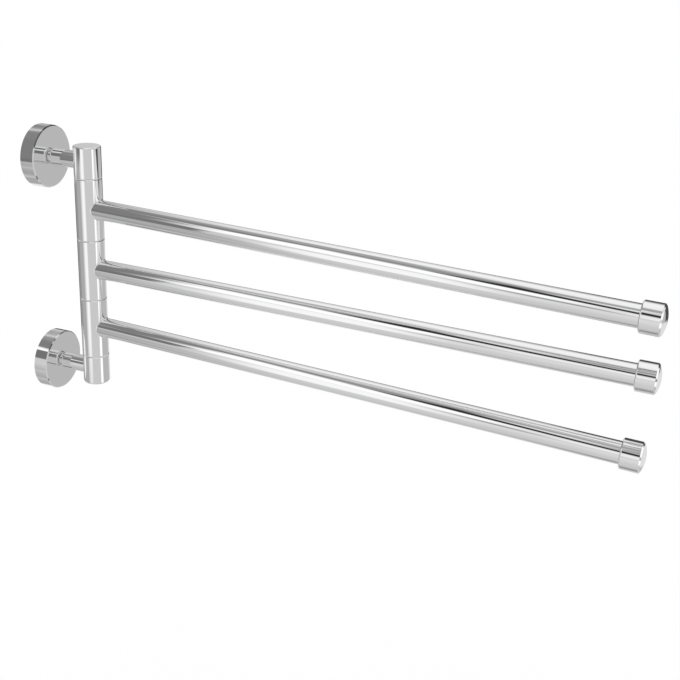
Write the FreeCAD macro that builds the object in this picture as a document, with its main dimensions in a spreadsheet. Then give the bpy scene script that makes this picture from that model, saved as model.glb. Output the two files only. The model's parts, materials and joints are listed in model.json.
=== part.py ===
import FreeCAD, Part
import math
import os
import Sketcher
from FreeCAD import Vector

# Swing arm towel bar: three arms that turn on one pivot column, which two posts hold off the wall.
# Millimetres, +Z up. The wall is the plane Y = 0 and the object stands out from it towards -Y.
# The origin is on the wall, midway between the two wall plates.

# Driving dimensions: name, value, what it is.
SIZES = (
    ("rosette_diameter", "50", "round cover over each wall plate"),
    ("rosette_depth", "12", "wall to the rosette's front face"),
    ("rosette_rim_wall", "2.5", "thickness of the rosette's rim"),
    ("rosette_face_wall", "2", "thickness of the rosette's front"),
    ("rosette_edge_chamfer", "0.8", "bright bevel round the front face"),
    ("plate_depth", "7", "thickness of the wall plate"),
    ("plate_edge_gap", "0.3", "radial gap between wall plate and rosette rim"),
    ("plate_edge_chamfer", "0.5", "lead-in at the wall plate's front edge"),
    ("plate_recess_diameter", "14", "recess in the wall plate for the post screw's head"),
    ("plate_recess_depth", "1.5", "depth of that recess"),
    ("grip_groove_depth", "1.2", "groove round the wall plate that the grub screw bites in"),
    ("grip_groove_width", "4.6", "width of that groove"),
    ("wall_hole_spacing", "28", "between the two screw holes of one wall plate"),
    ("wall_hole_diameter", "4.5", "screw hole through the wall plate"),
    ("wall_hole_sink_diameter", "9", "countersink at the front of the screw hole"),
    ("grub_diameter", "4", "grub screw that locks the rosette on the wall plate"),
    ("grub_height", "3.8", "grub screw's axis above the wall"),
    ("grub_sunk", "0.3", "grub screw's end below the rim's surface"),
    ("grub_point_length", "0.8", "bevel at the grub screw's point"),
    ("grub_socket", "2", "hex socket of the grub screw, across flats"),
    ("grub_socket_depth", "1.5", "depth of that socket"),
    ("wall_to_column", "45", "wall to the pivot column's axis"),
    ("post_diameter", "14", "post between rosette and column"),
    ("post_bore", "5.6", "clearance bore through the post"),
    ("post_neck_diameter", "9.6", "neck that the post stands on"),
    ("post_neck_length", "1.4", "length of that neck"),
    ("post_base_round", "2", "rounding of the post's base above the neck"),
    ("post_screw_diameter", "5", "screw from inside the rosette through the post into the column"),
    ("post_screw_head_diameter", "9.5", "head of the post screw"),
    ("post_screw_head_height", "2.7", "height of that head"),
    ("post_screw_head_bevel", "1.3", "bevel round that head"),
    ("post_screw_socket", "3", "hex socket of the post screw, across flats"),
    ("post_screw_socket_depth", "2", "depth of that socket"),
    ("post_screw_tip_gap", "0.6", "post screw's tip to the pivot shaft"),
    ("column_diameter", "22", "sleeves and end sections"),
    ("seam_chamfer", "0.35", "tiny bevel at each seam of the column"),
    ("sleeve_length", "50", "turning sleeve that carries one arm"),
    ("end_section_length", "25", "fixed section at each end of the column"),
    ("top_edge_round", "1", "rounding of the column's top edge"),
    ("bottom_edge_round", "1.6", "rounding of the column's bottom edge"),
    ("thrust_washer_thickness", "0.6", "slip washer in each seam"),
    ("thrust_washer_inset", "0.5", "washer's edge below the column's surface"),
    ("shaft_diameter", "10", "pivot shaft"),
    ("shaft_socket_depth", "14", "tapped hole for the shaft in the top end section"),
    ("shaft_end_gap", "0.4", "shaft's top end to the bottom of that hole"),
    ("shaft_end_chamfer", "0.6", "bevel at the shaft's ends"),
    ("shaft_thread_diameter", "8", "thread for the nut at the shaft's lower end"),
    ("shaft_beyond_nut", "0.2", "thread that shows past the nut"),
    ("running_clearance", "0.05", "radial gap between turning and fixed pieces"),
    ("fit_clearance", "0.03", "radial gap between pieces that are fixed together"),
    ("bush_wall", "2", "wall of the plain bushes in a sleeve"),
    ("bush_length", "10", "length of each bush"),
    ("nut_pocket_diameter", "16", "pocket for the nut in the bottom end section"),
    ("disc_spring_thickness", "0.8", "sheet of the disc spring that loads the washers"),
    ("disc_spring_rise", "0.4", "height of its cone"),
    ("nut_washer_thickness", "0.8", "plain washer under the nut"),
    ("nut_washer_diameter", "15", "plain washer and disc spring, outside"),
    ("nut_flats", "13", "nut across flats"),
    ("nut_height", "4", "height of the nut"),
    ("nut_bevel", "0.9", "bevel of the nut's corners"),
    ("nut_to_plug_gap", "0.3", "shaft's end to the plug"),
    ("plug_thickness", "1.6", "plug that closes the nut pocket"),
    ("arm_diameter", "16", "tube of each arm"),
    ("arm_wall", "1", "wall of that tube"),
    ("braze_fillet", "1", "fillet of braze where the tube meets its sleeve"),
    ("arm_reach", "450", "pivot axis to the end of the arm"),
    ("cap_diameter", "21.5", "end cap of each arm"),
    ("cap_length", "16", "length of the end cap"),
    ("cap_face_wall", "4.5", "thickness of the end cap's front"),
    ("cap_front_bevel", "1", "bevel round the end cap's front"),
    ("cap_back_round", "1.1", "rounding of the end cap's back rim"),
    ("cap_dome_rise", "2", "crown of the end cap's front face"),
    ("upper_arm_angle", "95.8", "degrees from the wall's right hand side to the upper arm"),
    ("middle_arm_angle", "92.4", "the same for the middle arm"),
    ("lower_arm_angle", "94.5", "the same for the lower arm"),
)

# Sizes that follow from the driving dimensions, as expressions.
ROSETTE_RADIUS = "Sizes.rosette_diameter / 2"
PLATE_RADIUS = f"({ROSETTE_RADIUS} - Sizes.rosette_rim_wall - Sizes.plate_edge_gap)"
GROOVE_RADIUS = f"({PLATE_RADIUS} - Sizes.grip_groove_depth)"
CUP_DEPTH = "(Sizes.rosette_depth - Sizes.rosette_face_wall)"
POST_SCREW_RADIUS = "Sizes.post_screw_diameter / 2"
COLUMN_RADIUS = "Sizes.column_diameter / 2"
SHAFT_RADIUS = "Sizes.shaft_diameter / 2"
THREAD_RADIUS = "Sizes.shaft_thread_diameter / 2"
BUSH_BORE_RADIUS = f"({SHAFT_RADIUS} + Sizes.running_clearance)"
SLEEVE_BORE_RADIUS = f"({BUSH_BORE_RADIUS} + Sizes.bush_wall)"
SHAFT_HOLE_RADIUS = f"({SHAFT_RADIUS} + Sizes.fit_clearance)"
THREAD_HOLE_RADIUS = f"({THREAD_RADIUS} + Sizes.fit_clearance)"
POST_SCREW_HOLE_RADIUS = f"({POST_SCREW_RADIUS} + Sizes.fit_clearance)"
NUT_POCKET_RADIUS = "Sizes.nut_pocket_diameter / 2"
ARM_RADIUS = "Sizes.arm_diameter / 2"
CAP_RADIUS = "Sizes.cap_diameter / 2"
PITCH = "(Sizes.sleeve_length + Sizes.thrust_washer_thickness)"
STACK_END = f"(1.5 * {PITCH} + Sizes.thrust_washer_thickness / 2)"
POST_HEIGHT = f"({STACK_END} + Sizes.end_section_length / 2)"
SPRING_HEIGHT = "(Sizes.disc_spring_thickness + Sizes.disc_spring_rise)"
NUT_STACK = f"({SPRING_HEIGHT} + Sizes.nut_washer_thickness + Sizes.nut_height)"
THREAD_LENGTH = f"({NUT_STACK} + Sizes.shaft_beyond_nut)"
NUT_POCKET_DEPTH = f"({THREAD_LENGTH} + Sizes.nut_to_plug_gap + Sizes.plug_thickness)"
NUT_POCKET_FLOOR = f"(Sizes.end_section_length - {NUT_POCKET_DEPTH})"

# A cut that goes right through runs this much further than the piece is thick, in millimetres.
OVERSHOOT = "1"
# Less than this is no cut at all, in cubic millimetres.
SMALLEST_CUT = 0.001
# Two edges closer than this are at the same place, in millimetres.
SAME_PLACE = 0.0001
# A saddle edge is a curve that is only close to both of its surfaces: points tested, and how close in millimetres.
SADDLE_POINTS = 9
SADDLE_TOLERANCE = 0.01
HEXAGON_SIDES = 6
FULL_TURN = 360

doc = FreeCAD.newDocument("swing_arm_towel_bar")
sheet = doc.addObject("Spreadsheet::Sheet", "Sizes")
for row, (alias, number, meaning) in enumerate(SIZES, start=1):
    sheet.set(f"A{row}", alias)
    sheet.set(f"B{row}", number)
    sheet.set(f"C{row}", meaning)
    sheet.setAlias(f"B{row}", alias)
doc.recompute()

subparts = []


def value(expression):
    """The number that an expression of the sheet gives now."""
    return float(sheet.evalExpression(expression))


def new_body(label):
    """An empty body, which becomes a sub-part when it is kept."""
    body = doc.addObject("PartDesign::Body", label)
    body.Label = label
    return body


def new_sketch(body, name, plane):
    """A sketch on one of the body's own origin planes."""
    sketch = body.newObject("Sketcher::SketchObject", f"{body.Name}_{name}")
    support = next(item for item in body.Origin.OriginFeatures if item.Role == plane)
    sketch.AttachmentSupport = [(support, "")]
    sketch.MapMode = "FlatFace"
    return sketch


def pin_point(sketch, geometry, end, corner):
    """Ties one end of a line to its two coordinates; a coordinate of 0 lies on the axis."""
    for kind, axis, coordinate in (("DistanceX", -2, corner[0]), ("DistanceY", -1, corner[1])):
        if coordinate == "0":
            sketch.addConstraint(Sketcher.Constraint("PointOnObject", geometry, end, axis))
        else:
            number = value(coordinate)
            index = sketch.addConstraint(Sketcher.Constraint(kind, -1, 1, geometry, end, number))
            sketch.setExpression(f"Constraints[{index}]", coordinate)


def draw_outline(sketch, corners, domed_side=None):
    """A closed outline through the corners. The domed side is an arc centred on the X axis."""
    points = [Vector(value(x), value(y), 0) for x, y in corners]
    sides = []
    for number, start in enumerate(points):
        end = points[(number + 1) % len(points)]
        if number == domed_side:
            sides.append(add_dome(sketch, start, end))
        else:
            sides.append((sketch.addGeometry(Part.LineSegment(start, end), False), 1, 2))
    for number, (geometry, first, _) in enumerate(sides):
        before, _, last = sides[number - 1]
        sketch.addConstraint(Sketcher.Constraint("Coincident", before, last, geometry, first))
        pin_point(sketch, geometry, first, corners[number])


def add_dome(sketch, start, end):
    """An arc from start down to end, which lies on the X axis, with its centre on that axis too."""
    rise = end.x - start.x
    radius = (start.y ** 2 + rise ** 2) / (2 * rise)
    circle = Part.Circle(Vector(end.x - radius, 0, 0), Vector(0, 0, 1), radius)
    first_angle = circle.parameter(end)
    last_angle = circle.parameter(start)
    arc = sketch.addGeometry(Part.ArcOfCircle(circle, first_angle, last_angle), False)
    sketch.addConstraint(Sketcher.Constraint("PointOnObject", arc, 3, -1))
    return (arc, 2, 1)


def draw_circle(sketch, x, y, radius):
    """A circle with its centre at x, y."""
    centre = Vector(value(x), value(y), 0)
    circle = sketch.addGeometry(Part.Circle(centre, Vector(0, 0, 1), value(radius)), False)
    index = sketch.addConstraint(Sketcher.Constraint("Radius", circle, value(radius)))
    sketch.setExpression(f"Constraints[{index}]", radius)
    pin_point(sketch, circle, 3, (x, y))


def draw_hexagon(sketch, across_flats):
    """A regular hexagon about the origin, with one flat along X."""
    radius = f"{across_flats} / sqrt(3)"
    corner_circle = Part.Circle(Vector(0, 0, 0), Vector(0, 0, 1), value(radius))
    circle = sketch.addGeometry(corner_circle, True)
    sketch.addConstraint(Sketcher.Constraint("Coincident", circle, 3, -1, 1))
    index = sketch.addConstraint(Sketcher.Constraint("Radius", circle, value(radius)))
    sketch.setExpression(f"Constraints[{index}]", radius)
    step = 2 * math.pi / HEXAGON_SIDES
    corners = [corner_circle.value(number * step) for number in range(HEXAGON_SIDES)]
    sides = []
    for number, corner in enumerate(corners):
        line = Part.LineSegment(corner, corners[(number + 1) % HEXAGON_SIDES])
        sides.append(sketch.addGeometry(line, False))
    for number, side in enumerate(sides):
        sketch.addConstraint(Sketcher.Constraint("Coincident", sides[number - 1], 2, side, 1))
        sketch.addConstraint(Sketcher.Constraint("PointOnObject", side, 1, circle))
    for side in sides[1:]:
        sketch.addConstraint(Sketcher.Constraint("Equal", sides[0], side))
    sketch.addConstraint(Sketcher.Constraint("Horizontal", sides[1]))


def add_feature(body, kind, name, sketch):
    """A feature of the body that is made from a sketch."""
    feature = body.newObject(f"PartDesign::{kind}", f"{body.Name}_{name}")
    feature.Profile = sketch
    return feature


def turn(label, corners, axis="V_Axis", domed_side=None):
    """A body turned about Z from (radius, height) corners, or about X from (along, radius)."""
    body = new_body(label)
    sketch = new_sketch(body, "profile", "XZ_Plane")
    draw_outline(sketch, corners, domed_side)
    revolution = add_feature(body, "Revolution", "turned", sketch)
    revolution.ReferenceAxis = (sketch, [axis])
    revolution.Angle = FULL_TURN
    doc.recompute()
    return body


def cut(body, name, sketch, depth, sides="One side", backwards=False):
    """Pockets a sketch into the body and makes sure that it takes material away."""
    before = body.Shape.Volume
    pocket = add_feature(body, "Pocket", name, sketch)
    pocket.SideType = sides
    pocket.Reversed = backwards
    pocket.setExpression("Length", depth)
    doc.recompute()
    if before - body.Shape.Volume < SMALLEST_CUT:
        raise RuntimeError(f"{body.Label}: {name} cuts nothing")


def rims(body, radius, distance, axis="Z"):
    """Names of the circular edges with this radius whose centre is this far along the axis."""
    wanted = (value(radius), value(distance))
    found = []
    for number, edge in enumerate(body.Tip.Shape.Edges, start=1):
        if edge.Degenerated or not isinstance(edge.Curve, Part.Circle):
            continue
        curve = edge.Curve
        along = curve.Center.x if axis == "X" else curve.Center.z
        apart = max(abs(curve.Radius - wanted[0]), abs(along - wanted[1]))
        if apart < SAME_PLACE:
            found.append(f"Edge{number}")
    if not found:
        raise RuntimeError(f"{body.Label}: no rim of radius {wanted[0]} at {wanted[1]}")
    return found


def saddle_edges(body, column_radius, tube_radius):
    """Names of the edges where a tube along X meets an upright column."""
    column, tube = value(column_radius), value(tube_radius)
    found = []
    for number, edge in enumerate(body.Tip.Shape.Edges, start=1):
        if edge.Degenerated:
            continue
        points = edge.discretize(SADDLE_POINTS)
        off_column = max(abs(math.hypot(point.x, point.y) - column) for point in points)
        off_tube = max(abs(math.hypot(point.y, point.z) - tube) for point in points)
        if max(off_column, off_tube) < SADDLE_TOLERANCE:
            found.append(f"Edge{number}")
    if not found:
        raise RuntimeError(f"{body.Label}: no edge where the tube meets the column")
    return found


def dress(body, kind, name, edges, size):
    """A Fillet or Chamfer of one size on the named edges."""
    feature = body.newObject(f"PartDesign::{kind}", f"{body.Name}_{name}")
    feature.Base = (feature.BaseFeature, edges)
    feature.setExpression("Radius" if kind == "Fillet" else "Size", size)
    doc.recompute()
    if "Invalid" in feature.State:
        raise RuntimeError(f"{body.Label}: {name} does not fit its edge")


def place(item, x, y, z, turned="rotation(vector(0; 0; 1); 0)"):
    """Puts an item in the row's frame by expressions."""
    item.setExpression("Placement", f"placement(vector({x}; {y}; {z}); {turned})")
    doc.recompute()


def place_on_wall(item, height):
    """Turns a piece made along +Z to stand out from the wall along -Y, at this height."""
    place(item, "0", "0", height, "rotation(vector(1; 0; 0); 90)")


def place_on_column(item, height, upside_down=False):
    """Puts a piece made along +Z on the pivot axis, its origin at this height."""
    flip = "rotation(vector(0; 1; 0); 180)" if upside_down else "rotation(vector(0; 1; 0); 0)"
    place(item, "0", "-Sizes.wall_to_column", height, flip)


def place_on_arm(item, height, angle):
    """Puts a piece made along +X on the pivot axis at this height, pointing along its arm."""
    place(item, "0", "-Sizes.wall_to_column", height, f"rotation(vector(0; 0; 1); -{angle})")


def keep(item):
    """Makes the item one of the exported sub-parts."""
    subparts.append(item)


def group(label, members):
    """Identical fasteners as one sub-part of separate solids."""
    compound = doc.addObject("Part::Compound", label)
    compound.Label = label
    compound.Links = members
    doc.recompute()
    keep(compound)


def make_wall_plate(label, height):
    """Round plate that two countersunk screws hold on the wall, grooved for the grub screw."""
    groove_low = "(Sizes.grub_height - Sizes.grip_groove_width / 2)"
    groove_high = "(Sizes.grub_height + Sizes.grip_groove_width / 2)"
    recess_floor = "(Sizes.plate_depth - Sizes.plate_recess_depth)"
    recess_radius = "Sizes.plate_recess_diameter / 2"
    plate = turn(label, [
        ("0", "0"),
        (PLATE_RADIUS, "0"),
        (PLATE_RADIUS, groove_low),
        (GROOVE_RADIUS, groove_low),
        (GROOVE_RADIUS, groove_high),
        (PLATE_RADIUS, groove_high),
        (PLATE_RADIUS, "Sizes.plate_depth"),
        (recess_radius, "Sizes.plate_depth"),
        (recess_radius, recess_floor),
        ("0", recess_floor),
    ])
    dress(plate, "Chamfer", "edge", rims(plate, PLATE_RADIUS, "Sizes.plate_depth"),
          "Sizes.plate_edge_chamfer")
    hole_radius = "Sizes.wall_hole_diameter / 2"
    holes = new_sketch(plate, "screw_holes", "XY_Plane")
    draw_circle(holes, "Sizes.wall_hole_spacing / 2", "0", hole_radius)
    draw_circle(holes, "-Sizes.wall_hole_spacing / 2", "0", hole_radius)
    cut(plate, "screw_hole_cuts", holes, f"Sizes.plate_depth + {OVERSHOOT}", backwards=True)
    dress(plate, "Chamfer", "countersinks", rims(plate, hole_radius, "Sizes.plate_depth"),
          "(Sizes.wall_hole_sink_diameter - Sizes.wall_hole_diameter) / 2")
    place_on_wall(plate, height)
    keep(plate)


def make_rosette(label, height):
    """Cup over the wall plate, with the post screw's hole and the grub screw's hole under it."""
    rim_radius = f"({ROSETTE_RADIUS} - Sizes.rosette_rim_wall)"
    rosette = turn(label, [
        (rim_radius, "0"),
        (ROSETTE_RADIUS, "0"),
        (ROSETTE_RADIUS, "Sizes.rosette_depth"),
        (POST_SCREW_HOLE_RADIUS, "Sizes.rosette_depth"),
        (POST_SCREW_HOLE_RADIUS, CUP_DEPTH),
        (rim_radius, CUP_DEPTH),
    ])
    dress(rosette, "Chamfer", "face_edge", rims(rosette, ROSETTE_RADIUS, "Sizes.rosette_depth"),
          "Sizes.rosette_edge_chamfer")
    hole = new_sketch(rosette, "grub_hole", "XZ_Plane")
    draw_circle(hole, "0", "Sizes.grub_height", "Sizes.grub_diameter / 2 + Sizes.fit_clearance")
    cut(rosette, "grub_hole_cut", hole, f"{ROSETTE_RADIUS} + {OVERSHOOT}", backwards=True)
    place_on_wall(rosette, height)
    keep(rosette)


def make_grub_screw(label, height):
    """Headless screw with a hex socket, up through the rosette's rim into the plate's groove."""
    radius = "Sizes.grub_diameter / 2"
    length = f"({ROSETTE_RADIUS} - Sizes.grub_sunk - {GROOVE_RADIUS})"
    screw = turn(label, [
        ("0", "0"),
        (radius, "0"),
        (radius, f"{length} - Sizes.grub_point_length"),
        (f"{radius} - Sizes.grub_point_length", length),
        ("0", length),
    ])
    socket = new_sketch(screw, "socket", "XY_Plane")
    draw_hexagon(socket, "Sizes.grub_socket")
    cut(screw, "socket_cut", socket, "Sizes.grub_socket_depth", backwards=True)
    place(screw, "0", "-Sizes.grub_height", f"{height} - {GROOVE_RADIUS} - {length}")
    return screw


def make_post(label, height):
    """Post on a short neck, bored for its screw and coped to sit on the column."""
    radius = "Sizes.post_diameter / 2"
    neck_radius = "Sizes.post_neck_diameter / 2"
    bore_radius = "Sizes.post_bore / 2"
    neck_end = "(Sizes.rosette_depth + Sizes.post_neck_length)"
    post = turn(label, [
        (bore_radius, "Sizes.rosette_depth"),
        (neck_radius, "Sizes.rosette_depth"),
        (neck_radius, neck_end),
        (radius, neck_end),
        (radius, "Sizes.wall_to_column"),
        (bore_radius, "Sizes.wall_to_column"),
    ])
    dress(post, "Fillet", "base", rims(post, radius, neck_end), "Sizes.post_base_round")
    saddle = new_sketch(post, "saddle", "XZ_Plane")
    draw_circle(saddle, "0", "Sizes.wall_to_column", COLUMN_RADIUS)
    cut(post, "saddle_cut", saddle, f"Sizes.post_diameter + {OVERSHOOT}", sides="Symmetric")
    place_on_wall(post, height)
    keep(post)


def make_post_screw(label, height):
    """Button-head screw from inside the rosette, through the post, into the end section."""
    head_radius = "Sizes.post_screw_head_diameter / 2"
    head_base = f"({CUP_DEPTH} - Sizes.post_screw_head_height)"
    tip = f"(Sizes.wall_to_column - {SHAFT_RADIUS} - Sizes.post_screw_tip_gap)"
    screw = turn(label, [
        ("0", head_base),
        (f"{head_radius} - Sizes.post_screw_head_bevel", head_base),
        (head_radius, f"{head_base} + Sizes.post_screw_head_bevel"),
        (head_radius, CUP_DEPTH),
        (POST_SCREW_RADIUS, CUP_DEPTH),
        (POST_SCREW_RADIUS, tip),
        ("0", tip),
    ])
    socket = new_sketch(screw, "socket", "XY_Plane")
    draw_hexagon(socket, "Sizes.post_screw_socket")
    cut(screw, "socket_cut", socket, f"{head_base} + Sizes.post_screw_socket_depth", backwards=True)
    place_on_wall(screw, height)
    return screw


def add_post_hole(section):
    """Tapped hole for the post screw, from the wall side into the shaft's bore."""
    hole = new_sketch(section, "post_hole", "XZ_Plane")
    draw_circle(hole, "0", "Sizes.end_section_length / 2", POST_SCREW_HOLE_RADIUS)
    cut(section, "post_hole_cut", hole, f"{COLUMN_RADIUS} + {OVERSHOOT}")


def make_top_end_section():
    """Closed fixed section that the shaft screws into from below."""
    section = turn("top_end_section", [
        (SHAFT_HOLE_RADIUS, "0"),
        (COLUMN_RADIUS, "0"),
        (COLUMN_RADIUS, "Sizes.end_section_length"),
        ("0", "Sizes.end_section_length"),
        ("0", "Sizes.shaft_socket_depth"),
        (SHAFT_HOLE_RADIUS, "Sizes.shaft_socket_depth"),
    ])
    dress(section, "Fillet", "top_edge", rims(section, COLUMN_RADIUS, "Sizes.end_section_length"),
          "Sizes.top_edge_round")
    dress(section, "Chamfer", "seam_edge", rims(section, COLUMN_RADIUS, "0"), "Sizes.seam_chamfer")
    add_post_hole(section)
    place_on_column(section, STACK_END)
    keep(section)


def make_bottom_end_section():
    """Fixed section with the pocket for the nut, made upside down."""
    section = turn("bottom_end_section", [
        (SHAFT_HOLE_RADIUS, "0"),
        (COLUMN_RADIUS, "0"),
        (COLUMN_RADIUS, "Sizes.end_section_length"),
        (NUT_POCKET_RADIUS, "Sizes.end_section_length"),
        (NUT_POCKET_RADIUS, NUT_POCKET_FLOOR),
        (SHAFT_HOLE_RADIUS, NUT_POCKET_FLOOR),
    ])
    dress(section, "Fillet", "bottom_edge",
          rims(section, COLUMN_RADIUS, "Sizes.end_section_length"), "Sizes.bottom_edge_round")
    dress(section, "Chamfer", "seam_edge", rims(section, COLUMN_RADIUS, "0"), "Sizes.seam_chamfer")
    add_post_hole(section)
    place_on_column(section, f"-{STACK_END}", upside_down=True)
    keep(section)


def make_pivot_shaft():
    """Shaft through the whole stack, with a smaller thread for the nut at its lower end."""
    bottom = f"(-{STACK_END} - {NUT_POCKET_FLOOR} - {THREAD_LENGTH})"
    top = f"({STACK_END} + Sizes.shaft_socket_depth - Sizes.shaft_end_gap)"
    length = f"({top} - {bottom})"
    shaft = turn("pivot_shaft", [
        ("0", "0"),
        (THREAD_RADIUS, "0"),
        (THREAD_RADIUS, THREAD_LENGTH),
        (SHAFT_RADIUS, THREAD_LENGTH),
        (SHAFT_RADIUS, length),
        ("0", length),
    ])
    ends = rims(shaft, THREAD_RADIUS, "0") + rims(shaft, SHAFT_RADIUS, length)
    dress(shaft, "Chamfer", "ends", ends, "Sizes.shaft_end_chamfer")
    place_on_column(shaft, bottom)
    keep(shaft)


def make_nut_stack():
    """Disc spring, plain washer, nut and plug in the bottom end section, made upside down."""
    hole = THREAD_HOLE_RADIUS
    outside = "Sizes.nut_washer_diameter / 2"
    floor = f"({STACK_END} + {NUT_POCKET_FLOOR})"
    spring = turn("disc_spring", [
        (outside, "0"),
        (outside, "Sizes.disc_spring_thickness"),
        (hole, SPRING_HEIGHT),
        (hole, "Sizes.disc_spring_rise"),
    ])
    place_on_column(spring, f"-{floor}", upside_down=True)
    keep(spring)
    washer = turn("nut_washer", [
        (hole, "0"),
        (outside, "0"),
        (outside, "Sizes.nut_washer_thickness"),
        (hole, "Sizes.nut_washer_thickness"),
    ])
    place_on_column(washer, f"-({floor} + {SPRING_HEIGHT})", upside_down=True)
    keep(washer)
    make_nut(f"-({floor} + {SPRING_HEIGHT} + Sizes.nut_washer_thickness)")
    plug_radius = f"({NUT_POCKET_RADIUS} - Sizes.fit_clearance)"
    plug = turn("bottom_plug", [
        ("0", "0"),
        (plug_radius, "0"),
        (plug_radius, "Sizes.plug_thickness"),
        ("0", "Sizes.plug_thickness"),
    ])
    dress(plug, "Chamfer", "edge", rims(plug, plug_radius, "Sizes.plug_thickness"),
          "Sizes.seam_chamfer")
    plug_height = f"({STACK_END} + Sizes.end_section_length - Sizes.plug_thickness)"
    place_on_column(plug, f"-{plug_height}", upside_down=True)
    keep(plug)


def make_nut(height):
    """Thin hex nut with bevelled corners on both faces."""
    nut = new_body("shaft_nut")
    hexagon = new_sketch(nut, "hexagon", "XY_Plane")
    draw_hexagon(hexagon, "Sizes.nut_flats")
    pad = add_feature(nut, "Pad", "blank", hexagon)
    pad.setExpression("Length", "Sizes.nut_height")
    doc.recompute()
    hole = new_sketch(nut, "thread", "XY_Plane")
    draw_circle(hole, "0", "0", THREAD_HOLE_RADIUS)
    cut(nut, "thread_cut", hole, f"Sizes.nut_height + {OVERSHOOT}", backwards=True)
    bevel_nut(nut, "lower", "0", "Sizes.nut_bevel")
    bevel_nut(nut, "upper", "Sizes.nut_height", "(Sizes.nut_height - Sizes.nut_bevel)")
    place_on_column(nut, height, upside_down=True)
    keep(nut)


def bevel_nut(nut, name, face, slope_end):
    """Turns the corners off one face of the nut, twice as wide as they are deep."""
    flat = "Sizes.nut_flats / 2"
    outside = f"({flat} + 2 * Sizes.nut_bevel)"
    before = nut.Shape.Volume
    sketch = new_sketch(nut, f"{name}_bevel", "XZ_Plane")
    draw_outline(sketch, [(flat, face), (outside, face), (outside, slope_end)])
    groove = add_feature(nut, "Groove", f"{name}_bevel_cut", sketch)
    groove.ReferenceAxis = (sketch, ["V_Axis"])
    groove.Angle = FULL_TURN
    doc.recompute()
    if before - nut.Shape.Volume < SMALLEST_CUT:
        raise RuntimeError(f"{nut.Label}: {name} bevel cuts nothing")


def make_thrust_washer(label, height):
    """Slip washer in one seam of the column, a little smaller than the column."""
    hole = BUSH_BORE_RADIUS
    outside = f"({COLUMN_RADIUS} - Sizes.thrust_washer_inset)"
    washer = turn(label, [
        (hole, "0"),
        (outside, "0"),
        (outside, "Sizes.thrust_washer_thickness"),
        (hole, "Sizes.thrust_washer_thickness"),
    ])
    place_on_column(washer, f"{height} - Sizes.thrust_washer_thickness / 2")
    keep(washer)


def make_sleeve(label, height, angle):
    """Turning section of the column that one arm is brazed to."""
    sleeve = turn(label, [
        (SLEEVE_BORE_RADIUS, "0"),
        (COLUMN_RADIUS, "0"),
        (COLUMN_RADIUS, "Sizes.sleeve_length"),
        (SLEEVE_BORE_RADIUS, "Sizes.sleeve_length"),
    ])
    ends = rims(sleeve, COLUMN_RADIUS, "0") + rims(sleeve, COLUMN_RADIUS, "Sizes.sleeve_length")
    dress(sleeve, "Chamfer", "seam_edges", ends, "Sizes.seam_chamfer")
    place_on_arm(sleeve, f"{height} - Sizes.sleeve_length / 2", angle)
    keep(sleeve)


def make_bush(label, bottom):
    """Plain bush fixed in the sleeve's bore, which runs on the shaft."""
    outside = f"({SLEEVE_BORE_RADIUS} - Sizes.fit_clearance)"
    bush = turn(label, [
        (BUSH_BORE_RADIUS, "0"),
        (outside, "0"),
        (outside, "Sizes.bush_length"),
        (BUSH_BORE_RADIUS, "Sizes.bush_length"),
    ])
    place_on_column(bush, bottom)
    keep(bush)


def make_arm_tube(label, height, angle):
    """Tube coped and brazed to the sleeve at one end and open to the end cap at the other."""
    inside = f"({ARM_RADIUS} - Sizes.arm_wall)"
    end = "(Sizes.arm_reach - Sizes.cap_face_wall)"
    tube = turn(label, [
        ("0", inside),
        (end, inside),
        (end, ARM_RADIUS),
        ("0", ARM_RADIUS),
    ], axis="H_Axis")
    # A stub of the sleeve stands in the body while the fillet is made, and the saddle's cut takes it out again.
    stub_height = "(Sizes.arm_diameter + 4 * Sizes.braze_fillet)"
    sleeve_circle = new_sketch(tube, "sleeve_circle", "XY_Plane")
    draw_circle(sleeve_circle, "0", "0", COLUMN_RADIUS)
    stub = add_feature(tube, "Pad", "sleeve_stub", sleeve_circle)
    stub.SideType = "Symmetric"
    stub.setExpression("Length", stub_height)
    doc.recompute()
    dress(tube, "Fillet", "braze", saddle_edges(tube, COLUMN_RADIUS, ARM_RADIUS), "Sizes.braze_fillet")
    saddle = new_sketch(tube, "saddle", "XY_Plane")
    draw_circle(saddle, "0", "0", COLUMN_RADIUS)
    cut(tube, "saddle_cut", saddle, f"{stub_height} + {OVERSHOOT}", sides="Symmetric")
    place_on_arm(tube, height, angle)
    keep(tube)


def make_end_cap(label, height, angle):
    """Cup over the tube's end, with a rounded back rim, a bevelled edge and a crowned front."""
    bore = f"({ARM_RADIUS} + Sizes.fit_clearance)"
    back = "(Sizes.arm_reach - Sizes.cap_length)"
    shoulder = "(Sizes.arm_reach - Sizes.cap_dome_rise)"
    floor = "(Sizes.arm_reach - Sizes.cap_face_wall)"
    cap = turn(label, [
        (back, bore),
        (back, CAP_RADIUS),
        (f"{shoulder} - Sizes.cap_front_bevel", CAP_RADIUS),
        (shoulder, f"{CAP_RADIUS} - Sizes.cap_front_bevel"),
        ("Sizes.arm_reach", "0"),
        (floor, "0"),
        (floor, bore),
    ], axis="H_Axis", domed_side=3)
    dress(cap, "Fillet", "back_rim", rims(cap, CAP_RADIUS, back, axis="X"), "Sizes.cap_back_round")
    place_on_arm(cap, height, angle)
    keep(cap)


def make_wall_mount():
    """The fixed pieces at the wall: two plates, rosettes and posts with their screws."""
    grub_screws = []
    post_screws = []
    for name, height in (("upper", POST_HEIGHT), ("lower", f"-{POST_HEIGHT}")):
        make_wall_plate(f"{name}_wall_plate", height)
        make_rosette(f"{name}_rosette", height)
        make_post(f"{name}_post", height)
        grub_screws.append(make_grub_screw(f"{name}_grub_screw", height))
        post_screws.append(make_post_screw(f"{name}_post_screw", height))
    group("grub_screws", grub_screws)
    group("post_screws", post_screws)


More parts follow.
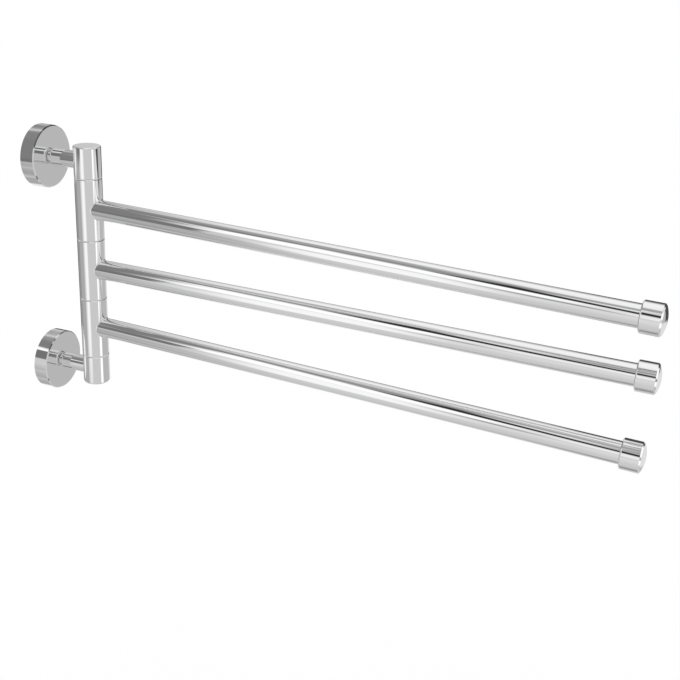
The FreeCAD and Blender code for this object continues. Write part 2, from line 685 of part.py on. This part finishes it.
def make_column():
    """The fixed pieces of the pivot column, with a slip washer in each of its four seams."""
    make_top_end_section()
    make_bottom_end_section()
    make_pivot_shaft()
    make_nut_stack()
    for name, seam in (("top", "1.5"), ("upper", "0.5"), ("lower", "-0.5"), ("bottom", "-1.5")):
        make_thrust_washer(f"{name}_thrust_washer", f"{seam} * {PITCH}")


def make_arm(name, height, angle):
    """One turning arm: sleeve, two bushes, tube and end cap."""
    make_sleeve(f"{name}_sleeve", height, angle)
    make_bush(f"{name}_arm_top_bush", f"{height} + Sizes.sleeve_length / 2 - Sizes.bush_length")
    make_bush(f"{name}_arm_bottom_bush", f"{height} - Sizes.sleeve_length / 2")
    make_arm_tube(f"{name}_arm_tube", height, angle)
    make_end_cap(f"{name}_end_cap", height, angle)


def check_and_export():
    """Stops on any failed object or bad shape, then writes one STEP file per sub-part."""
    for item in doc.Objects:
        if "Invalid" in item.State or "Error" in item.State:
            raise RuntimeError(f"{item.Label} failed: {item.State}")
    for item in subparts:
        if item.Shape.isNull() or not item.Shape.isValid() or not item.Shape.Solids:
            raise RuntimeError(f"{item.Label} has no valid solid")
    os.makedirs("parts", exist_ok=True)
    for item in subparts:
        item.Shape.exportStep(f"parts/{item.Label}.step")
        print(f"{item.Label}: {len(item.Shape.Solids)} solid, {item.Shape.Volume:.1f} mm3")


make_wall_mount()
make_column()
make_arm("upper", PITCH, "Sizes.upper_arm_angle")
make_arm("middle", "0", "Sizes.middle_arm_angle")
make_arm("lower", f"-{PITCH}", "Sizes.lower_arm_angle")
check_and_export()
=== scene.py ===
"""Swing arm towel bar in polished chrome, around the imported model.

Everything is in metres, +Z up. The wall is the plane Y = 0, with the origin midway between the
two wall plates, and the bar stands out from it towards -Y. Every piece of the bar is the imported
model's own, so this script adds the finishes, the camera and the studio.
"""
import json
import math

import bpy
import numpy as np
from mathutils import Matrix, Vector

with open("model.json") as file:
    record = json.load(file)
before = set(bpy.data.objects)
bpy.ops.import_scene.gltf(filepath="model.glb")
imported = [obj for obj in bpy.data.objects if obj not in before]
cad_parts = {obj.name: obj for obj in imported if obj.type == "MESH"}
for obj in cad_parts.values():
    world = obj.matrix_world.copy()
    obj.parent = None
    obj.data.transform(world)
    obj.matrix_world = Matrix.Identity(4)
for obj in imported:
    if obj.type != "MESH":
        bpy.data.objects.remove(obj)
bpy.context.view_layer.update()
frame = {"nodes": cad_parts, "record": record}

# ---------------------------------------------------------------- camera
# The photograph is PHOTO_PIXELS square. Its axis meets it at (CENTRE_X, CENTRE_Y), and its horizon
# is tilted a little.
PHOTO_PIXELS = 680
CENTRE_X = 315
CENTRE_Y = 305
FOCAL_PIXELS = 1020.756
CAMERA_PLACE = (-0.670422, -0.502106, 0.27667)
CAMERA_YAW = math.radians(68.8)
CAMERA_DOWN = math.radians(20.92)
CAMERA_ROLL = math.radians(2.16)
SENSOR_MM = 36.0
NEAREST_SEEN = 0.01


def add_camera():
    """The photograph's viewpoint: turned from +Y towards +X by the yaw, then down, then rolled."""
    forward = Vector((math.sin(CAMERA_YAW) * math.cos(CAMERA_DOWN),
                      math.cos(CAMERA_YAW) * math.cos(CAMERA_DOWN),
                      -math.sin(CAMERA_DOWN)))
    level_right = Vector((math.cos(CAMERA_YAW), -math.sin(CAMERA_YAW), 0.0))
    level_up = level_right.cross(forward)
    right = math.cos(CAMERA_ROLL) * level_right + math.sin(CAMERA_ROLL) * level_up
    upward = math.cos(CAMERA_ROLL) * level_up - math.sin(CAMERA_ROLL) * level_right
    data = bpy.data.cameras.new("photo_camera")
    data.sensor_width = SENSOR_MM
    data.lens = SENSOR_MM * FOCAL_PIXELS / PHOTO_PIXELS
    data.shift_x = (PHOTO_PIXELS / 2 - CENTRE_X) / PHOTO_PIXELS
    data.shift_y = (CENTRE_Y - PHOTO_PIXELS / 2) / PHOTO_PIXELS
    data.clip_start = NEAREST_SEEN
    camera = bpy.data.objects.new("photo_camera", data)
    axes = Matrix((right, upward, -forward)).transposed().to_4x4()
    camera.matrix_world = Matrix.Translation(CAMERA_PLACE) @ axes
    bpy.context.scene.collection.objects.link(camera)
    bpy.context.scene.camera = camera


# ---------------------------------------------------------------- node helpers
def grey(level):
    """A neutral colour of this level."""
    return (level, level, level, 1.0)


class Wiring:
    """Short calls for the nodes of one material or world."""

    def __init__(self, tree):
        self.tree = tree
        tree.nodes.clear()

    def node(self, kind, **settings):
        """A node of this kind with these settings."""
        made = self.tree.nodes.new(kind)
        for name, setting in settings.items():
            setattr(made, name, setting)
        return made

    def feed(self, socket, source):
        """Links a socket, or sets it where the source is a plain number or colour."""
        if isinstance(source, bpy.types.NodeSocket):
            self.tree.links.new(source, socket)
        else:
            socket.default_value = source

    def show(self, kind, shader):
        """Ends in an output node of this kind, which shows the shader."""
        self.feed(self.node(kind).inputs["Surface"], shader.outputs[0])

    def math(self, operation, *inputs):
        """One Math node's result."""
        made = self.node("ShaderNodeMath", operation=operation)
        for socket, source in zip(made.inputs, inputs):
            self.feed(socket, source)
        return made.outputs[0]

    def spread(self, source, low, high):
        """low where the source is 0, high where it is 1, and in proportion between."""
        return self.math("MULTIPLY_ADD", source, high - low, low)

    def smooth_step(self, source, low, high):
        """0 below low and 1 above high, with a smooth rise between; low may be the larger one."""
        made = self.node("ShaderNodeMapRange", interpolation_type="SMOOTHSTEP")
        self.feed(made.inputs["Value"], source)
        if low < high:
            limits = (low, high, 0.0, 1.0)
        else:
            limits = (high, low, 1.0, 0.0)
        for name, limit in zip(("From Min", "From Max", "To Min", "To Max"), limits):
            made.inputs[name].default_value = limit
        return made.outputs["Result"]

    def blend(self, share, first, second, data_type="FLOAT", label=""):
        """first where the share is 0, second where it is 1."""
        made = self.node("ShaderNodeMix", data_type=data_type, label=label)
        self.feed(made.inputs["Factor"], share)
        self.feed(made.inputs["A"], first)
        self.feed(made.inputs["B"], second)
        return made.outputs["Result"]

    def noise(self, scale, detail):
        """Soft noise from 0 to 1 through the solid, with about scale patches to the metre."""
        place = self.node("ShaderNodeTexCoord")
        made = self.node("ShaderNodeTexNoise")
        made.inputs["Scale"].default_value = scale
        made.inputs["Detail"].default_value = detail
        self.feed(made.inputs["Vector"], place.outputs["Object"])
        return made.outputs[0]

    def bump(self, height, strength, depth):
        """Normals over a height from 0 to 1 that stands for this depth in metres."""
        made = self.node("ShaderNodeBump")
        made.inputs["Strength"].default_value = strength
        made.inputs["Distance"].default_value = depth
        self.feed(made.inputs["Height"], height)
        return made.outputs[0]

    def principled(self, inputs):
        """A Principled shader with these inputs, each named as its socket is."""
        made = self.node("ShaderNodeBsdfPrincipled")
        for name, source in inputs.items():
            self.feed(made.inputs[name], source)
        return made


def start_material(name):
    """An empty material of this name, and its wiring."""
    material = bpy.data.materials.new(name)
    material.use_nodes = True
    return material, Wiring(material.node_tree)


# ---------------------------------------------------------------- light tent
WHITE = 1.0
SOFT_LIGHT = 0.85
# Brightness of the light tent round the object, by the height angle in degrees: (angle, level).
TENT_BY_HEIGHT = ((-90, 0.5), (-60, 0.68), (-40, 0.71), (-25, 0.77), (-8, 0.83), (2, 0.74),
                  (10, 0.7), (40, 0.83), (60, 0.95), (90, 1.0))
# Panels and flags in the tent, each laid over the ones before it. Angles are in degrees, and the
# turn goes from +X towards +Y. Each has: name, (middle turn, half width, soft edge), (middle
# height, half height, soft edge), rise in height for each degree of turn, level.
TENT_PANELS = (
    ("back_top", (-110, 50, 30), (55, 20, 20), 0.0, 0.95),
    ("far_grey", (2, 9, 16), (27, 30, 12), 0.4, 0.43),
    ("far_dark", (56, 17, 18), (19, 25, 24), -0.75, 0.05),
    ("far_edge", (-10, 8, 6), (8, 12, 10), 0.0, 0.12),
    ("top_box", (16, 32, 30), (66, 26, 24), -0.1, 1.05),
    ("low_far_box", (34, 22, 16), (-47, 14, 24), -0.1, 1.06),
    ("low_far_grey", (76, 24, 12), (-48, 12, 14), 0.0, 0.45),
    ("low_near_flag", (125, 12, 30), (-35, 15, 24), 0.8, 0.35),
    ("over_grey", (118, 60, 20), (66, 10, 10), 0.1, 0.42),
    ("near_flag", (104, 37, 24), (51, 9, 8), 0.15, 0.26),
    ("side_box", (145, 18, 7), (33, 12, 10), -0.5, 1.2),
    ("side_flag", (128, 11, 8), (16, 15, 8), -1.2, 0.2),
    ("cap_shade", (174, 10, 8), (50, 7, 8), -0.4, 0.35),
    ("far_flag", (160, 18, 12), (42, 7, 6), -0.8, 0.03),
    ("cap_box", (173, 8, 4), (14, 9, 13), -0.4, 1.0),
    ("horizon", (160, 5, 4), (5, 5, 5), 0.0, 0.35),
    ("low_glow", (130, 16, 4.5), (-4, 20, 17), -0.7, 0.67),
    ("low_right", (-52, 38, 12), (-18, 26, 12), 0.0, 0.55),
    ("low_left", (115, 28, 8), (-16, 12, 8), 0.0, 0.47),
    ("low_back", (88, 13, 8), (-16, 12, 8), 0.0, 0.33),
    ("low_front", (215, 38, 10), (-18, 24, 10), 0.0, 0.68),
    ("strip_right", (261, 10, 6), (-20, 10, 6), 0.0, 1.25),
    ("cap_gleam", (-80, 26, 10), (13, 10, 8), 0.0, 1.2),
    ("far_rim", (17, 24, 6), (-6, 10, 6), 0.0, 0.05),
    ("left_rim", (56, 14, 6), (-20, 7, 5), 0.0, 0.05),
    ("edge_dark", (-28, 31, 6), (42, 10, 6), -0.7, 0.06),
    ("edge_line", (-90, 32, 6), (46, 9, 6), 0.45, 0.12),
    ("post_side", (229, 14, 8), (38, 8, 8), 0.9, 0.22),
    ("front_line", (272, 14, 6), (-5, 5, 4), 0.0, 0.3),
    ("post_low", (-104, 14, 8), (-56, 5, 5), 0.0, 0.2),
    ("straight_down", (0, 181, 1), (-90, 10, 6), 0.0, 0.3),
)
HALF_TURN = 180.0


def panel_share(wiring, off_middle, half_size, soft):
    """1 inside a panel's half size and 0 outside, with its soft edge between."""
    apart = wiring.math("ABSOLUTE", off_middle)
    return wiring.smooth_step(apart, half_size + soft / 2, half_size - soft / 2)


def tent_level(wiring):
    """Brightness of the light tent in each direction, from its height and its panels."""
    direction = wiring.node("ShaderNodeTexCoord").outputs["Generated"]
    split = wiring.node("ShaderNodeSeparateXYZ")
    wiring.feed(split.inputs[0], direction)
    x, y, z = split.outputs
    height = wiring.math("DEGREES", wiring.math("ARCSINE", z))
    turn = wiring.math("DEGREES", wiring.math("ARCTAN2", y, x))
    low_angle, level = TENT_BY_HEIGHT[0]
    for angle, next_level in TENT_BY_HEIGHT[1:]:
        level = wiring.blend(wiring.smooth_step(height, low_angle, angle), level, next_level)
        low_angle = angle
    for name, turns, heights, rise, brightness in TENT_PANELS:
        middle_turn, half_width, soft_width = turns
        middle_height, half_height, soft_height = heights
        off_turn = wiring.math("SUBTRACT", turn, middle_turn)
        off_turn = wiring.math("WRAP", off_turn, HALF_TURN, -HALF_TURN)
        off_height = wiring.math("SUBTRACT", height,
                                 wiring.math("MULTIPLY_ADD", off_turn, rise, middle_height))
        across = panel_share(wiring, off_turn, half_width, soft_width)
        upright = panel_share(wiring, off_height, half_height, soft_height)
        share = wiring.math("MULTIPLY", across, upright)
        level = wiring.blend(share, level, brightness, label=name)
    return level


def light_studio():
    """A pale light tent: white to the camera, with its panels to anything that reflects."""
    world = bpy.data.worlds.new("light_tent")
    bpy.context.scene.world = world
    world.use_nodes = True
    wiring = Wiring(world.node_tree)
    rays = wiring.node("ShaderNodeLightPath").outputs
    mirrored = wiring.math("MAXIMUM", rays["Is Glossy Ray"], rays["Is Transmission Ray"])
    strength = wiring.blend(mirrored, SOFT_LIGHT, tent_level(wiring))
    strength = wiring.blend(rays["Is Camera Ray"], strength, WHITE)
    background = wiring.node("ShaderNodeBackground")
    background.inputs["Color"].default_value = grey(WHITE)
    wiring.feed(background.inputs["Strength"], strength)
    wiring.show("ShaderNodeOutputWorld", background)


# ---------------------------------------------------------------- cards and floor
# Cards of the studio that stand near the object, so that each of its parts shows them in another
# place. Each has: name, (x, y), the point that it faces, half width, (low, high), level, and how
# much of its width and of its height fades out.
COLUMN_PLACE = (0.0, -0.045)
CAPS_PLACE = (-0.03, -0.48)
CARDS = (
    ("bright_card", (-0.793, 0.117), COLUMN_PLACE, 0.27, (-0.56, 0.31), 1.1, (0.37, 0.23)),
    ("post_flag", (-0.33, 0.24), COLUMN_PLACE, 0.13, (-0.02, 0.22), 0.2, (0.1, 0.1)),
    ("root_flag", (-0.122, 0.118), COLUMN_PLACE, 0.155, (0.06, 0.31), 0.24, (0.3, 0.15)),
    ("cap_card", (0.18, -0.68), CAPS_PLACE, 0.15, (-0.25, -0.035), 0.85, (0.2, 0.1)),
    ("cap_flag", (0.244, -0.565), CAPS_PLACE, 0.18, (-0.07, 0.2), 0.08, (0.1, 0.1)),
)
CARD_UVS = ((0, 0), (1, 0), (1, 1), (0, 1))
CARD_MIDDLE = 0.5
FLOOR_LEVEL = -0.75
FLOOR_REACH = 6.0
FLOOR_GREY = 0.8


def stage_sheet(name, corners, material):
    """A flat four-cornered sheet of the studio."""
    mesh = bpy.data.meshes.new(name)
    mesh.from_pydata(corners, [], [(0, 1, 2, 3)])
    mesh.materials.append(material)
    piece = bpy.data.objects.new(name, mesh)
    bpy.context.scene.collection.objects.link(piece)
    return piece


def card_light(name, level, fades):
    """Even light that fades out towards the card's edges, so its reflection has no hard border."""
    material, wiring = start_material(name)
    split = wiring.node("ShaderNodeSeparateXYZ")
    wiring.feed(split.inputs[0], wiring.node("ShaderNodeTexCoord").outputs["UV"])
    shares = []
    for coordinate, fade in zip(split.outputs, fades):
        off_middle = wiring.math("SUBTRACT", coordinate, CARD_MIDDLE)
        shares.append(panel_share(wiring, off_middle, CARD_MIDDLE - fade / 2, fade))
    glow = wiring.node("ShaderNodeEmission")
    glow.inputs["Strength"].default_value = level
    clear = wiring.node("ShaderNodeBsdfTransparent")
    mixed = wiring.node("ShaderNodeMixShader")
    wiring.feed(mixed.inputs[0], wiring.math("MULTIPLY", *shares))
    wiring.feed(mixed.inputs[1], clear.outputs[0])
    wiring.feed(mixed.inputs[2], glow.outputs[0])
    wiring.show("ShaderNodeOutputMaterial", mixed)
    return material


def add_card(name, place, target, half_width, heights, level, fades):
    """An upright card that faces its target square on and shows in reflections alone."""
    facing = np.array(target) - np.array(place)
    facing = facing / np.linalg.norm(facing)
    side = np.array([-facing[1], facing[0]]) * half_width
    left = np.array(place) - side
    right = np.array(place) + side
    low, high = heights
    corners = [(*left, low), (*right, low), (*right, high), (*left, high)]
    card = stage_sheet(name, corners, card_light(name, level, fades))
    unwrapped = card.data.uv_layers.new(name="UVMap")
    for loop, uv in zip(unwrapped.data, CARD_UVS):
        loop.uv = uv
    card.visible_camera = False
    card.visible_diffuse = False
    card.visible_shadow = False
    card.visible_transmission = False
    card.visible_volume_scatter = False


def add_floor():
    """A pale matt floor well below the bar: white to the camera, less the bar's soft shadow."""
    material, wiring = start_material("pale_floor")
    matt = wiring.node("ShaderNodeBsdfDiffuse")
    matt.inputs["Color"].default_value = grey(FLOOR_GREY)
    rays = wiring.node("ShaderNodeLightPath").outputs
    lift = wiring.node("ShaderNodeEmission")
    wiring.feed(lift.inputs["Strength"],
                wiring.math("MULTIPLY", rays["Is Camera Ray"], WHITE - FLOOR_GREY * SOFT_LIGHT))
    both = wiring.node("ShaderNodeAddShader")
    wiring.feed(both.inputs[0], matt.outputs[0])
    wiring.feed(both.inputs[1], lift.outputs[0])
    wiring.show("ShaderNodeOutputMaterial", both)
    low, high = -FLOOR_REACH, FLOOR_REACH
    corners = [(x, y, FLOOR_LEVEL) for x, y in ((low, low), (high, low), (high, high), (low, high))]
    floor = stage_sheet("floor", corners, material)
    floor.visible_glossy = False
    floor.visible_transmission = False


# ---------------------------------------------------------------- finishes
# Noise is given as (patches to the metre, detail), grain relief as (strength, depth in metres), and
# roughness and colours as the ends of the range that the noise moves them over.
ALL_METAL = 1.0
CHROME_COLOUR = (0.84, 0.84, 0.845, 1.0)
CHROME_WIPE_MARKS = (60.0, 4.0)
CHROME_ROUGHNESS = (0.02, 0.04)
ZINC_COLOURS = ((0.50, 0.51, 0.53, 1.0), (0.62, 0.62, 0.61, 1.0))
ZINC_CLOUDS = (180.0, 3.0)
ZINC_GRAIN = (2500.0, 2.0)
ZINC_RELIEF = (0.15, 0.00005)
ZINC_ROUGHNESS = (0.25, 0.45)
NYLON_COLOURS = ((0.83, 0.83, 0.80, 1.0), (0.88, 0.88, 0.86, 1.0))
NYLON_GRAIN = (900.0, 2.0)
NYLON_RELIEF = (0.1, 0.0001)
NYLON_ROUGHNESS = (0.4, 0.55)


def chrome():
    """Polished chrome: a bright mirror with faint wipe marks in its gloss."""
    material, wiring = start_material("polished_chrome")
    marks = wiring.noise(*CHROME_WIPE_MARKS)
    shader = wiring.principled({"Base Color": CHROME_COLOUR,
                                "Metallic": ALL_METAL,
                                "Roughness": wiring.spread(marks, *CHROME_ROUGHNESS)})
    wiring.show("ShaderNodeOutputMaterial", shader)
    return material


def zinc_plated():
    """Zinc plated steel: a dull grey metal with cloudy patches and fine grain."""
    material, wiring = start_material("zinc_plated_steel")
    clouds = wiring.noise(*ZINC_CLOUDS)
    grain = wiring.noise(*ZINC_GRAIN)
    shader = wiring.principled({
        "Base Color": wiring.blend(clouds, *ZINC_COLOURS, data_type="RGBA"),
        "Metallic": ALL_METAL,
        "Roughness": wiring.spread(clouds, *ZINC_ROUGHNESS),
        "Normal": wiring.bump(grain, *ZINC_RELIEF),
    })
    wiring.show("ShaderNodeOutputMaterial", shader)
    return material


def nylon():
    """Natural nylon: milky white with a waxy gloss and a faint moulded grain."""
    material, wiring = start_material("natural_nylon")
    grain = wiring.noise(*NYLON_GRAIN)
    shader = wiring.principled({
        "Base Color": wiring.blend(grain, *NYLON_COLOURS, data_type="RGBA"),
        "Roughness": wiring.spread(grain, *NYLON_ROUGHNESS),
        "Normal": wiring.bump(grain, *NYLON_RELIEF),
    })
    wiring.show("ShaderNodeOutputMaterial", shader)
    return material


def paint(node, material):
    """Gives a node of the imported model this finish."""
    node.data.materials.clear()
    node.data.materials.append(material)


# ---------------------------------------------------------------- the towel bar in its studio
add_camera()
light_studio()
for card in CARDS:
    add_card(*card)
add_floor()
finishes = {"chrome": chrome(), "steel": zinc_plated(), "nylon": nylon()}
slot_of = {piece["node"]: piece["material_slot"] for piece in frame["record"]["subparts"]}
for name, node in frame["nodes"].items():
    paint(node, finishes[slot_of[name]])
bpy.context.scene.view_settings.view_transform = "Standard"
